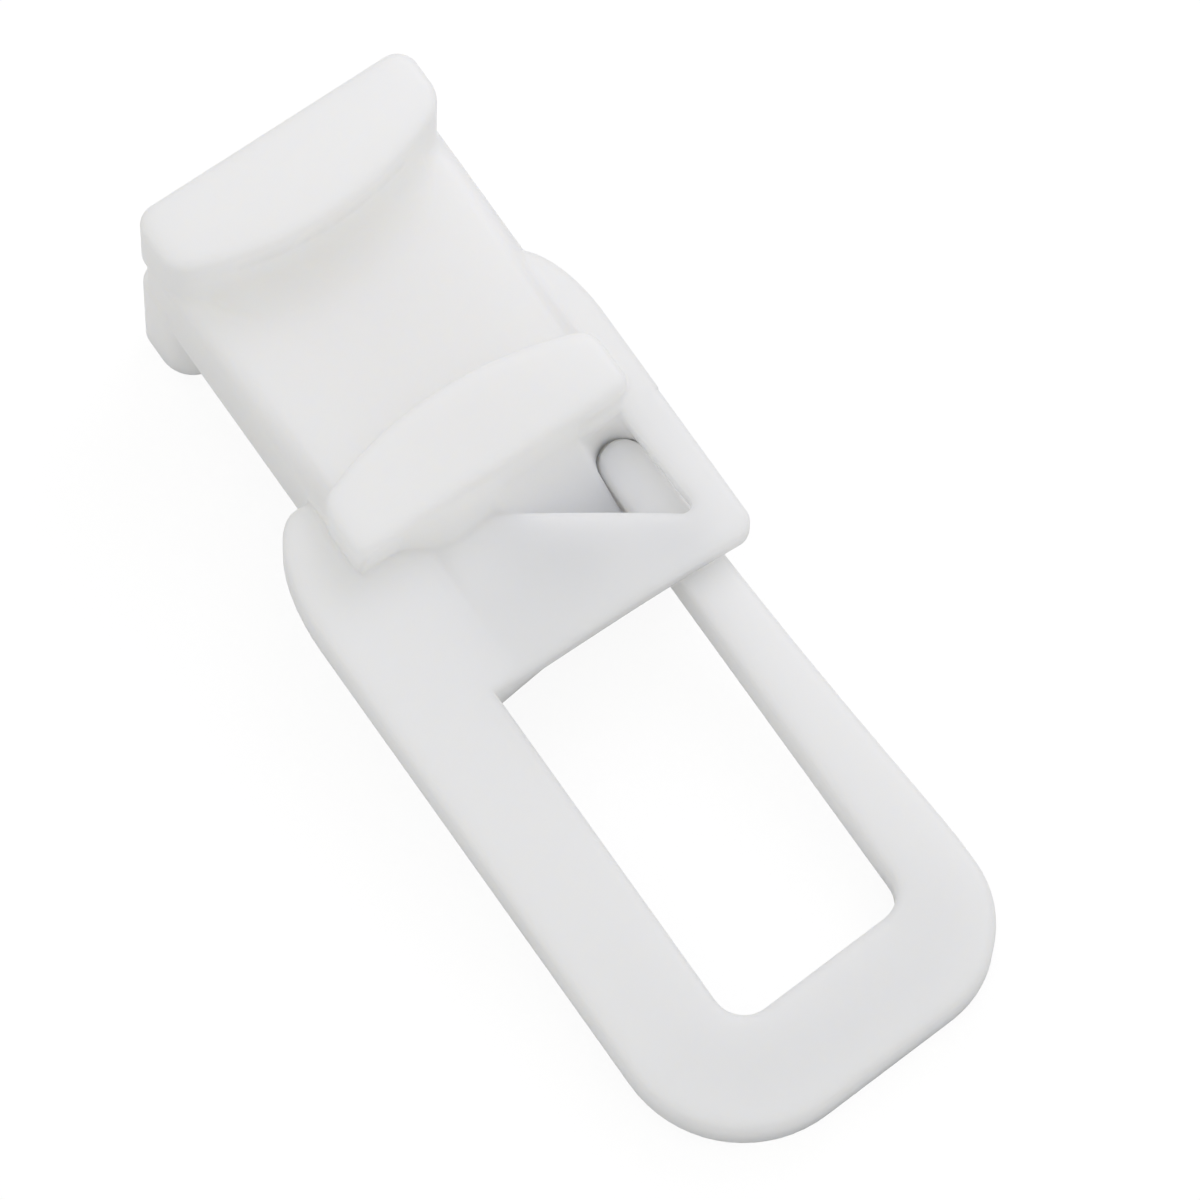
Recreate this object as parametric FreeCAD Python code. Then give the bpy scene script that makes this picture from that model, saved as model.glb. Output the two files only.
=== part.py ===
import FreeCAD, Part
import math
import os
from FreeCAD import Vector

# Curtain hook for a slotted track, moulded in one piece of white plastic.
# It lies on the back of its head and of its loop, a little tilted, as a loose hook comes to rest.
# X runs across it, Y from the loop up to the head and Z from the back to the front.
# While it is drawn, Y = 0 is the sill, where the body ends and the loop begins.
# X = 0 is then the middle of the neck and Z = 0 the back of the head.
# All sizes are in millimetres. A rise is a height above the sill.

# Head, which runs inside the track: a front and a back bar, one on either side of the neck
head_width = 9.76
head_depth = 9.9
head_height = 3.27
head_crest_radius = 11.0
head_top_corner = 0.7
head_low_corner = 1.1
head_rise = 17.21
head_bar_lap = 0.2
head_back_lap = 1.7
head_recess = 0.15
head_cove = 0.4

# Neck, which passes the slot of the track
neck_width = 9.6
neck_depth = 4.0
neck_back = 3.2
neck_edge = 0.6

# Lower front flange, which keeps the hook from riding up into the slot
flange_width = 9.76
flange_height = 3.06
flange_crest_radius = 12.5
flange_reach = 0.6
flange_top_corner = 0.8
flange_low_corner = 0.4
flange_rise = 5.2

# Body and loop: one flat plate, level with the neck
plate_back = 4.2
plate_depth = 1.8
plate_left = 6.84
shoulder_rise = 8.04
shoulder_height = 3.7
shoulder_width = 1.6

# Guard: a thin wall that leaves the plate on a slope and covers the tip of the finger
guard_right = 5.58
guard_wall = 0.95
guard_length = 8.58
guard_flat = 1.7
guard_drop = 0.43
guard_toe_sink = 0.06
guard_toe_lift = 0.25
guard_toe_ease = 1.6
guard_top_ease = 2.4
guard_corner = 0.62
brow_rise = 10.91
brow_height = 3.2
brow_width = 1.5

# Open triangle in the guard
opening_right = 4.45
opening_foot = 0.85
opening_slope = 0.733
opening_lean = 0.057
opening_lap = 0.3

# Pocket behind the guard, where the tip of the finger lies
pocket_left = 0.53
pocket_wall = 0.9
pocket_foot = 0.6
pocket_clearance = 0.3

# Loop, which carries the curtain
loop_right = 5.2
arm_width = 3.29
bar_width = 3.4
window_height = 12.46
window_slope = 0.062
window_corner = 1.0
loop_left_radius = 4.0
loop_right_radius = 3.3

# Finger: the springy side of the loop, rooted in the bar, with its tip behind the guard
finger_root_width = 2.3
finger_tip_width = 1.56
finger_tip_inset = 0.76
finger_rise = 4.51
finger_foot_gap = 0.4575
finger_outer_hold = 1.25
finger_outer_ease = 7.0
finger_clearance = 0.1

# Rounding of the outside edges and of the edges of the guard, and the bevel of the back edges
edge_round = 0.3
fine_round = 0.2
back_bevel = 0.15

# Share of a quarter ellipse's reach at which its curve is held
ellipse_hold = 0.5523

# How near a corner an edge must lie to belong to it, and how squarely a face must look to one side
near = 0.05
square_on = 0.8

node_name = "curtain_hook"

# Places that follow from the sizes above
neck_front = neck_back + neck_depth
head_low = head_rise - head_height
flange_front = neck_front + flange_reach
flange_high = flange_rise + flange_height
plate_front = plate_back + plate_depth
guard_back = plate_front + finger_clearance
guard_front = guard_back + guard_wall
guard_toe = guard_right - guard_length
guard_bend = guard_right - guard_flat
guard_top = flange_rise + neck_edge
opening_top = guard_top - opening_lap
pocket_top = finger_rise + pocket_clearance
pocket_floor = neck_back + pocket_wall
window_left = arm_width - plate_left
finger_root_left = loop_right - finger_root_width
finger_tip_right = loop_right - finger_tip_inset
finger_tip_left = finger_tip_right - finger_tip_width
y_axis = Vector(0, 1, 0)
z_axis = Vector(0, 0, 1)


def floor_at(x):
    """Height of the window's lower edge, which climbs a little to the right."""
    return (x - window_left) * window_slope - window_height


def base_at(x):
    """Height of the bar's lower edge."""
    return floor_at(x) - bar_width


def bezier(poles):
    curve = Part.BezierCurve()
    curve.setPoles(poles)
    return curve.toShape()


def chain(items):
    """Closed wire through a list of points and curves, with straight lines in between."""
    first = items[0]
    edges = []
    last = first
    for item in items[1:] + [first]:
        if isinstance(item, Vector):
            edges.append(Part.makeLine(last, item))
            last = item
        else:
            edges.append(item)
            last = item.Vertexes[-1].Point
    return Part.Wire(edges)


def prism(wire, low, high):
    """Straight solid over a closed wire that is drawn at Z = 0."""
    solid = Part.Face(wire).extrude(Vector(0, 0, high - low))
    solid.translate(Vector(0, 0, low))
    return solid


def block(x0, x1, y0, y1, z0, z1):
    return Part.makeBox(x1 - x0, y1 - y0, z1 - z0, Vector(x0, y0, z0))


def along(solid, axis, test=lambda edge: True):
    """Straight edges that run along an axis and pass a test."""
    found = []
    for edge in solid.Edges:
        if edge.Curve.TypeId == "Part::GeomLine":
            run = edge.Vertexes[-1].Point - edge.Vertexes[0].Point
            if run.cross(axis).Length < near * run.Length and test(edge):
                found.append(edge)
    return found


def upright(solid, x, y):
    """Edges that stand along Z at one corner of an outline."""
    return [edge for edge in solid.Edges
            if edge.BoundBox.XLength + edge.BoundBox.YLength < near
            and abs(edge.CenterOfMass.x - x) + abs(edge.CenterOfMass.y - y) < near]


def rim(solid, level):
    """Edges that lie wholly at one level of Z."""
    return [edge for edge in solid.Edges
            if abs(edge.BoundBox.ZMin - level) + abs(edge.BoundBox.ZMax - level) < near]


def outline_of(solid, side, test=lambda edge: True):
    """Edges around the faces that look to the back (-1) or to the front (1)."""
    found = {}
    for face in solid.Faces:
        u0, u1, v0, v1 = face.ParameterRange
        if face.normalAt((u0 + u1) / 2, (v0 + v1) / 2).z * side > square_on:
            for edge in face.Edges:
                found.setdefault(edge.hashCode(), []).append(edge)
    return [edges[0] for edges in found.values() if len(edges) == 1 and test(edges[0])]


def shoulder(tip, side, rise, height, width):
    """Quarter of an ellipse that goes outwards and down to the side of the body."""
    top = Vector(tip - side * width, rise, 0)
    foot = Vector(tip, rise - height, 0)
    hold_top = top + Vector(side * width * ellipse_hold, 0, 0)
    hold_foot = foot + Vector(0, height * ellipse_hold, 0)
    return [top, hold_top, hold_foot, foot]


def crowned_bar(width, low, high, back, front, centre, radius, straight, straight_corner, crown_corner):
    """Bar across the hook: one long side straight, the other crowned, and the ends rounded."""
    half = width / 2
    crown = Part.makeCylinder(radius, front - back, Vector(0, centre, back))
    bar = block(-half, half, low, high, back, front).common(crown)

    def on_straight(edge):
        return abs(edge.CenterOfMass.y - straight) < near

    bar = bar.makeFillet(straight_corner, along(bar, z_axis, on_straight))
    return bar.makeFillet(crown_corner, along(bar, z_axis, lambda edge: not on_straight(edge)))


def head_bar(back, front):
    """One bar of the head, crowned towards the groove and softened all round."""
    bar = crowned_bar(head_width, head_low, head_rise, back, front, head_low + head_crest_radius,
                      head_crest_radius, head_rise, head_top_corner, head_low_corner)
    return bar.makeFillet(edge_round, rim(bar, back) + rim(bar, front))


def make_head():
    """Neck with the two bars of the head, and a hollow fillet where the front bar leaves the neck."""
    half = neck_width / 2
    top = head_rise - head_recess
    stem = block(-half, half, flange_rise, top, neck_back, neck_front)
    stem = stem.makeFillet(head_top_corner, upright(stem, -half, top) + upright(stem, half, top))
    stem = stem.makeFillet(neck_edge, along(stem, y_axis))
    head = stem.fuse([head_bar(0, neck_back + head_back_lap), head_bar(neck_front - head_bar_lap, head_depth)])
    under = head_rise - head_height / 2
    cove = [edge for edge in rim(head, neck_front) if head_low - near < edge.CenterOfMass.y < under]
    return head.makeFillet(head_cove, cove)


def make_flange():
    """Flange: a bar in front of the neck, crowned towards the groove and straight below."""
    bar = crowned_bar(flange_width, flange_rise, flange_high, plate_back + edge_round, flange_front,
                      flange_high - flange_crest_radius, flange_crest_radius, flange_rise,
                      flange_low_corner, flange_top_corner)
    return bar.makeFillet(edge_round, rim(bar, flange_front))


def make_plate():
    """Flat plate: left shoulder, body, the open C of the loop and the finger that closes it."""
    tip_base = finger_rise - finger_tip_width / 2
    left = shoulder(-plate_left, -1, shoulder_rise, shoulder_height, shoulder_width)
    right_foot = Vector(loop_right, base_at(loop_right) + loop_right_radius + finger_foot_gap, 0)
    right_top = Vector(finger_tip_right, tip_base, 0)
    tip = Vector(finger_tip_right - finger_tip_width / 2, finger_rise, 0)
    left_top = Vector(finger_tip_left, tip_base, 0)
    outer = bezier([right_foot, right_foot + Vector(0, finger_outer_hold, 0),
                    right_top - Vector(0, finger_outer_ease, 0), right_top])
    outline = chain([left[0], bezier(left),
                     Vector(-plate_left, base_at(-plate_left), 0),
                     Vector(loop_right, base_at(loop_right), 0),
                     right_foot, outer,
                     Part.Arc(right_top, tip, left_top).toShape(),
                     Vector(finger_root_left, floor_at(finger_root_left), 0),
                     Vector(window_left, floor_at(window_left), 0),
                     Vector(window_left, 0, 0),
                     Vector(-pocket_left, 0, 0),
                     Vector(-pocket_left, shoulder_rise, 0)])
    plate = prism(outline, plate_back, plate_front)
    plate = plate.makeFillet(loop_left_radius, upright(plate, -plate_left, base_at(-plate_left)))
    plate = plate.makeFillet(loop_right_radius, upright(plate, loop_right, base_at(loop_right)))
    plate = plate.makeFillet(window_corner, upright(plate, window_left, floor_at(window_left))
                             + upright(plate, finger_root_left, floor_at(finger_root_left)))
    plate = plate.makeChamfer(back_bevel, outline_of(plate, -1))
    return plate.makeFillet(edge_round, outline_of(plate, 1))


def make_brow():
    """Right shoulder behind the guard, with the thin back wall of the pocket below it."""
    brow = shoulder(guard_right, 1, brow_rise, brow_height, brow_width)
    inside = Vector(-pocket_left - edge_round, 0, 0)
    outline = chain([brow[0], bezier(brow),
                     Vector(guard_right, pocket_foot, 0),
                     inside + Vector(0, pocket_foot, 0),
                     inside + Vector(0, shoulder_rise, 0),
                     Vector(brow[0].x, shoulder_rise, 0)])
    solid = prism(outline, neck_back, guard_front)
    solid = solid.makeFillet(fine_round, outline_of(solid, -1, lambda edge: edge.CenterOfMass.x > brow[0].x))
    return solid.cut(block(-plate_left, plate_left, 0, pocket_top, pocket_floor, head_depth))


def guard_slope(depth):
    """Curve of the guard seen from below, at a depth under its front face."""
    toe = Vector(guard_toe, 0, plate_front - guard_toe_sink - depth)
    bend = Vector(guard_bend, 0, guard_front - depth)
    return [toe, toe + Vector(guard_toe_ease, 0, guard_toe_lift), bend - Vector(guard_top_ease, 0, 0), bend]


def make_guard():
    """Guard: a wall of even thickness on a slope, with an open triangle over the tip of the finger."""
    brow = shoulder(guard_right, 1, brow_rise, brow_height, brow_width)
    brow_left = brow[0].x
    outline = chain([Vector(guard_toe, -fine_round * near, 0),
                     Vector(guard_right, -guard_drop, 0),
                     brow[3], bezier(brow[::-1]),
                     Vector(brow_left, guard_top, 0),
                     Vector(guard_toe, guard_top, 0)])
    front = guard_slope(0)
    back = guard_slope(guard_wall)
    wall = chain([front[0], bezier(front),
                  Vector(guard_right + guard_flat, 0, guard_front),
                  Vector(guard_right + guard_flat, 0, guard_back),
                  back[3], bezier(back[::-1])])
    band = Part.Face(wall).extrude(Vector(0, head_rise, 0))
    band.translate(Vector(0, -2 * guard_drop, 0))
    guard = prism(outline, 0, head_depth).common(band)
    rise = opening_top - opening_foot
    opening = chain([Vector(opening_right, opening_foot, 0),
                     Vector(opening_right - rise * opening_lean, opening_top, 0),
                     Vector(opening_right - rise / opening_slope, opening_top, 0)])
    hole = prism(opening, 0, head_depth)
    hole = hole.makeFillet(edge_round, upright(hole, opening_right, opening_foot))
    guard = guard.cut(hole)
    guard = guard.makeFillet(guard_corner, upright(guard, guard_right, -guard_drop))

    def seen(edge):
        middle = edge.CenterOfMass
        below = middle.x > guard_toe + near and middle.y < opening_top - near
        beside = middle.x > brow_left + near and middle.y > guard_top
        return below or beside

    guard = guard.makeFillet(fine_round, outline_of(guard, 1, seen))
    return guard.makeChamfer(back_bevel, outline_of(guard, -1, lambda edge: seen(edge)
                                                    and edge.CenterOfMass.y < opening_top - near))


def resting_tilt():
    """Tilt at which the back of the head and of the bar both touch the ground."""
    return math.degrees(math.atan(plate_back / (head_low - base_at(0))))


hook = make_head().fuse([make_plate(), make_brow(), make_guard(), make_flange()])
hook.rotate(Vector(0, 0, 0), Vector(1, 0, 0), resting_tilt())
box = hook.optimalBoundingBox(False)
hook.translate(Vector(-box.Center.x, -box.Center.y, -box.ZMin))

os.makedirs("parts", exist_ok=True)
hook.exportStep("parts/" + node_name + ".step")
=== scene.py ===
from math import cos, radians, sin

import bmesh
import bpy
from mathutils import Matrix, Vector

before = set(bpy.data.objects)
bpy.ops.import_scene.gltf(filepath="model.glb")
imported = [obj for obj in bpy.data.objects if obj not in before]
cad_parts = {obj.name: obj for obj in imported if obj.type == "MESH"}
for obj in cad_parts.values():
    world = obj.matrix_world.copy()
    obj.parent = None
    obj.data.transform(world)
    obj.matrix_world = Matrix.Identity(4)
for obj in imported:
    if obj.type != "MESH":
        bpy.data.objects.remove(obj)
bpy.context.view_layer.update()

# The hook itself: one injection moulding of natural white acetal, head, neck, guard and sprung loop in one.
# The plastic is satin and a little translucent, with the faint grain and slow ripple of a moulded surface.
millimetre = 0.001
milk_white = (0.960, 0.960, 0.955, 1)
cloud_white = (0.950, 0.951, 0.946, 1)
smoothest = 0.46
roughest = 0.56
acetal_ior = 1.48
glow_depth = 2.5 * millimetre
glow_reach = (1.0, 0.95, 0.85)
edge_softness = 0.35 * millimetre
edge_samples = 8
ripple_size = 2.2
ripple_height = 0.02 * millimetre
ripple_strength = 0.25
grain_size = 0.11
grain_height = 0.004 * millimetre
grain_strength = 0.12
noise_low = 0.3
noise_high = 0.7


def put(tree, kind, place, **values):
    """Adds a node at a place in the tree and sets its inputs by name."""
    node = tree.nodes.new(kind)
    node.location = place
    for name, value in values.items():
        node.inputs[name.replace("_", " ")].default_value = value
    return node


def new_material(name):
    """Material with its Principled shader and its tree."""
    material = bpy.data.materials.new(name)
    material.use_nodes = True
    return material, material.node_tree, material.node_tree.nodes["Principled BSDF"]


def speckle(tree, coordinates, size, detail, place):
    """Noise whose lumps are about so many millimetres across."""
    noise = put(tree, "ShaderNodeTexNoise", place, Scale=1 / (size * millimetre), Detail=detail)
    tree.links.new(coordinates, noise.inputs["Vector"])
    return noise.outputs["Fac"]


def spread(tree, value, low, high, place):
    """Maps the middle of a noise to a range."""
    span = put(tree, "ShaderNodeMapRange", place)
    span.inputs["From Min"].default_value = noise_low
    span.inputs["From Max"].default_value = noise_high
    span.inputs["To Min"].default_value = low
    span.inputs["To Max"].default_value = high
    tree.links.new(value, span.inputs["Value"])
    return span.outputs["Result"]


acetal, tree, shader = new_material("white_acetal")
links = tree.links
coordinates = put(tree, "ShaderNodeTexCoord", (-1400, 0)).outputs["Object"]
ripple = speckle(tree, coordinates, ripple_size, 1, (-1100, 200))
grain = speckle(tree, coordinates, grain_size, 3, (-1100, -200))

tint = put(tree, "ShaderNodeMix", (-500, 300))
tint.data_type = "RGBA"
tint.inputs["A"].default_value = milk_white
tint.inputs["B"].default_value = cloud_white
links.new(spread(tree, ripple, 0, 1, (-800, 300)), tint.inputs["Factor"])
links.new(tint.outputs["Result"], shader.inputs["Base Color"])
links.new(spread(tree, grain, smoothest, roughest, (-800, 0)), shader.inputs["Roughness"])

soft = put(tree, "ShaderNodeBevel", (-750, -300), Radius=edge_softness)
soft.samples = edge_samples
sink = put(tree, "ShaderNodeBump", (-500, -100), Strength=ripple_strength, Distance=ripple_height)
links.new(ripple, sink.inputs["Height"])
links.new(soft.outputs["Normal"], sink.inputs["Normal"])
skin = put(tree, "ShaderNodeBump", (-250, -200), Strength=grain_strength, Distance=grain_height)
links.new(grain, skin.inputs["Height"])
links.new(sink.outputs["Normal"], skin.inputs["Normal"])
links.new(skin.outputs["Normal"], shader.inputs["Normal"])
shader.inputs["IOR"].default_value = acetal_ior
shader.inputs["Subsurface Weight"].default_value = 1.0
shader.inputs["Subsurface Scale"].default_value = glow_depth
shader.inputs["Subsurface Radius"].default_value = glow_reach

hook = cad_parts["curtain_hook"]
hook.data.materials.clear()
hook.data.materials.append(acetal)

# Forms of the moulding where its bars leave the neck and the plate: a hollow fillet under the head, a foot
# under the flange that turns into the pocket's floor, and the hollow behind the root of the guard.
# They are joined to the hook or cut out of it, so they share its plastic and its skin.
tilt = radians(8.081)
sill = Vector((0.63, -0.272, -1.957)) * millimetre
step_count = 120
curve_count = 14
end_blunt = 0.02
sharp_from = radians(35)


def moulded(x, y, z):
    """A place on the hook, in millimetres from its sill, brought to where the hook lies."""
    point = Vector((x, y * cos(tilt) - z * sin(tilt), y * sin(tilt) + z * cos(tilt)))
    return point * millimetre + sill


def ease(value, start, end):
    """Smooth step from 0 at the start to 1 at the end."""
    share = min(max((value - start) / (end - start), 0), 1)
    return share * share * (3 - 2 * share)


def mixed(first, second, share):
    """Curve part of the way between two curves, point by point."""
    return [[one + (other - one) * share for one, other in zip(a, b)] for a, b in zip(first, second)]


def on_curve(poles, t):
    """Point of a cubic curve."""
    weights = ((1 - t) ** 3, 3 * t * (1 - t) ** 2, 3 * t ** 2 * (1 - t), t ** 3)
    return [sum(weight * pole[axis] for weight, pole in zip(weights, poles)) for axis in (0, 1)]


def swept(left, right, left_taper, right_taper, curve_at, back_at):
    """Form that runs across the hook: a curve in front, a straight back, and ends that fade out."""
    points = []
    for step in range(step_count + 1):
        x = left + (right - left) * step / step_count
        poles = curve_at(x)
        back = back_at(x)
        size = ease(x - left, -end_blunt, left_taper) * ease(right - x, -end_blunt, right_taper)
        for i in range(curve_count + 1):
            y, z = on_curve(poles, i / curve_count)
            points.append(moulded(x, back + (y - back) * size, z))
        points.append(moulded(x, back, poles[3][1]))
        points.append(moulded(x, back, poles[0][1]))
    width = curve_count + 3
    faces = [(a + b, a + (b + 1) % width, a + width + (b + 1) % width, a + width + b)
             for a in range(0, step_count * width, width) for b in range(width)]
    last = step_count * width
    faces += [tuple(range(width)), tuple(range(last, last + width))]
    return points, faces


def shape(name, operation, points, faces):
    """Joins a form to the hook or cuts it out; the form itself isn't shown."""
    mesh = bpy.data.meshes.new(name)
    mesh.from_pydata(points, [], faces)
    body = bmesh.new()
    body.from_mesh(mesh)
    bmesh.ops.recalc_face_normals(body, faces=body.faces)
    body.to_mesh(mesh)
    body.free()
    mesh.shade_smooth()
    mesh.set_sharp_from_angle(angle=sharp_from)
    mesh.materials.append(acetal)
    form = bpy.data.objects.new(name, mesh)
    form.hide_render = True
    form.hide_viewport = True
    bpy.context.scene.collection.objects.link(form)
    change = hook.modifiers.new(name, "BOOLEAN")
    change.operation = operation
    change.solver = "EXACT"
    change.object = form


foot_top = (5.2, 7.5)
foot_back = 5.35
foot_left, foot_right = -4.2, 4.5
foot_left_taper, foot_right_taper = 2.4, 0.04
plate_foot = (foot_top, (4.9, 7.0), (4.8, 6.4), (4.5, 5.9))
ledge_cover = (foot_top, (4.55, 7.2), (4.65, 6.3), (3.9, 5.4))
pocket_ramp = (foot_top, (4.6, 6.8), (4.2, 5.7), (0.75, 5.3))
ledge_turn = (-3.8, -0.9)
ramp_turn = (-0.6, 0.2)
tip_turn = (2.72, 2.82)
tip_middle = 3.66
tip_radius = 0.78
tip_base = 3.73
tip_gap = 0.08


def wall_over_tip(x):
    """The foot beside and above the finger: it keeps a gap to the round end of the tip."""
    lowest = tip_base + tip_gap + max(tip_radius ** 2 - (x - tip_middle) ** 2, 0) ** 0.5
    return foot_top, (5.1, 6.7), (lowest + 0.2, 6.3), (lowest, 5.6)


def foot_at(x):
    """The foot from left to right: on the plate, over the ledge, into the pocket, round the tip."""
    if x < (ledge_turn[1] + ramp_turn[0]) / 2:
        return mixed(plate_foot, ledge_cover, ease(x, *ledge_turn))
    if x < (ramp_turn[1] + tip_turn[0]) / 2:
        return mixed(ledge_cover, pocket_ramp, ease(x, *ramp_turn))
    return mixed(pocket_ramp, wall_over_tip(x), ease(x, *tip_turn))


foot = swept(foot_left, foot_right, foot_left_taper, foot_right_taper, foot_at, lambda x: foot_back)
shape("flange_foot", "UNION", *foot)

head_low = 13.94
head_crest_radius = 11.0
hollow_reach = 4.5
hollow_taper = 1.6
hollow_overlap = 0.2
head_hollow = ((0.0, 8.7), (0.0, 7.7), (-0.4, 7.25), (-1.5, 7.18))


def underside(x):
    """Height of the crowned underside of the head."""
    return head_low + head_crest_radius - (head_crest_radius ** 2 - x ** 2) ** 0.5


def hollow_at(x):
    """The hollow under the head, which follows its crown."""
    return [(y + underside(x), z) for y, z in head_hollow]


hollow = swept(-hollow_reach, hollow_reach, hollow_taper, hollow_taper, hollow_at,
               lambda x: underside(x) + hollow_overlap)
shape("head_hollow", "UNION", *hollow)

guard_back = [(-3.9, 4.0), (-1.9, 5.1), (-0.4, 5.45), (-0.4, 4.0)]
guard_low = -1.0
guard_high = 2.6
corners = [moulded(x, y, z) for y in (guard_low, guard_high) for x, z in guard_back]
sides = [(0, 1, 2, 3), (4, 5, 6, 7), (0, 1, 5, 4), (1, 2, 6, 5), (2, 3, 7, 6), (3, 0, 4, 7)]
shape("guard_hollow", "DIFFERENCE", corners, sides)

# The floor is a plain white sheet of card under the hook. It looks plain white to the camera and keeps
# the hook's soft shadow, while the light that it throws back on the hook is that of pale card.
card_white = (0.86, 0.86, 0.86, 1)
plain_white = (1, 1, 1, 1)
card_half = 0.4
card_glow = 0.8
card_light = 1.09


def background_rays(tree, place):
    """One for the rays that look at the background: from the camera, a reflection or through glass."""
    path = put(tree, "ShaderNodeLightPath", place)
    seen = put(tree, "ShaderNodeMath", (place[0] + 200, place[1]))
    seen.operation = "MAXIMUM"
    either = put(tree, "ShaderNodeMath", (place[0] + 400, place[1]))
    either.operation = "MAXIMUM"
    tree.links.new(path.outputs["Is Camera Ray"], seen.inputs[0])
    tree.links.new(path.outputs["Is Glossy Ray"], seen.inputs[1])
    tree.links.new(seen.outputs["Value"], either.inputs[0])
    tree.links.new(path.outputs["Is Transmission Ray"], either.inputs[1])
    return either.outputs["Value"]


card, tree, shader = new_material("white_card")
shader.inputs["Base Color"].default_value = card_white
shader.inputs["Roughness"].default_value = 1.0
shader.inputs["Specular IOR Level"].default_value = 0.0
plain = put(tree, "ShaderNodeEmission", (0, -300), Color=plain_white, Strength=card_light)
share = put(tree, "ShaderNodeMath", (100, 300))
share.operation = "MULTIPLY"
share.inputs[1].default_value = card_glow
tree.links.new(background_rays(tree, (-500, 300)), share.inputs[0])
blend = put(tree, "ShaderNodeMixShader", (400, 0))
tree.links.new(share.outputs["Value"], blend.inputs["Fac"])
tree.links.new(shader.outputs["BSDF"], blend.inputs[1])
tree.links.new(plain.outputs["Emission"], blend.inputs[2])
tree.links.new(blend.outputs["Shader"], tree.nodes["Material Output"].inputs["Surface"])

corners = [(card_half * x, card_half * y, 0) for x, y in ((-1, -1), (1, -1), (1, 1), (-1, 1))]
sheet = bpy.data.meshes.new("floor")
sheet.from_pydata(corners, [], [(0, 1, 2, 3)])
sheet.materials.append(card)
floor = bpy.data.objects.new("floor", sheet)
bpy.context.scene.collection.objects.link(floor)

# Studio light: an even white room, and one large soft lamp in front of the hook, above it and to its right.
# The lamp is set so that a face turned to the front renders about as bright as its colour is written.
room_level = 0.715
lamp_place = Vector((0.055, 0.025, 0.085))
lamp_size = 0.07
lamp_power = 0.018
lamp_tint = (0.92, 0.90, 1.0)
room_tint = (1.0, 1.0, 0.985, 1)

scene = bpy.context.scene
scene.world = bpy.data.worlds.new("room")
scene.world.use_nodes = True
tree = scene.world.node_tree
air = tree.nodes["Background"]
air_tint = put(tree, "ShaderNodeMix", (-200, 200))
air_tint.data_type = "RGBA"
air_tint.inputs["A"].default_value = room_tint
air_tint.inputs["B"].default_value = plain_white
tree.links.new(air_tint.outputs["Result"], air.inputs["Color"])
level = put(tree, "ShaderNodeMapRange", (-200, 0))
level.inputs["To Min"].default_value = room_level
level.inputs["To Max"].default_value = 1.0
looked_at = background_rays(tree, (-800, 0))
tree.links.new(looked_at, level.inputs["Value"])
tree.links.new(looked_at, air_tint.inputs["Factor"])
tree.links.new(level.outputs["Result"], air.inputs["Strength"])

lamp = bpy.data.lights.new("lamp", "AREA")
lamp.shape = "DISK"
lamp.size = lamp_size
lamp.energy = lamp_power
lamp_stand = bpy.data.objects.new("lamp", lamp)
lamp_stand.location = lamp_place
lamp_stand.rotation_euler = lamp_place.to_track_quat("Z", "Y").to_euler()
lamp.color = lamp_tint
scene.collection.objects.link(lamp_stand)

# The camera stands far off with a long lens and looks down on the front of the hook, as in the photo.
# Azimuth 0 looks along +Y, and the roll turns the picture a little about the line of sight.
azimuth = radians(-26.8)
elevation = radians(65.3)
roll = radians(-8.4)
lens = 346.0
sensor = 36.0
aim = Vector((1.572, 0.162, 2.392)) * millimetre
pixels_per_metre = 33614.0
picture_width = 1200

back = Vector((sin(azimuth) * cos(elevation), -cos(azimuth) * cos(elevation), sin(elevation)))
level_right = Vector((cos(azimuth), sin(azimuth), 0))
level_up = back.cross(level_right)
right = level_right * cos(roll) + level_up * sin(roll)
up = back.cross(right)
distance = lens / sensor * picture_width / pixels_per_metre

lens_body = bpy.data.cameras.new("camera")
lens_body.lens = lens
lens_body.sensor_width = sensor
lens_body.clip_start = distance / 100
lens_body.clip_end = distance * 100
camera = bpy.data.objects.new("camera", lens_body)
place = Matrix((right, up, back)).transposed().to_4x4()
place.translation = aim + back * distance
camera.matrix_world = place
scene.collection.objects.link(camera)
scene.camera = camera
scene.view_settings.view_transform = "Standard"
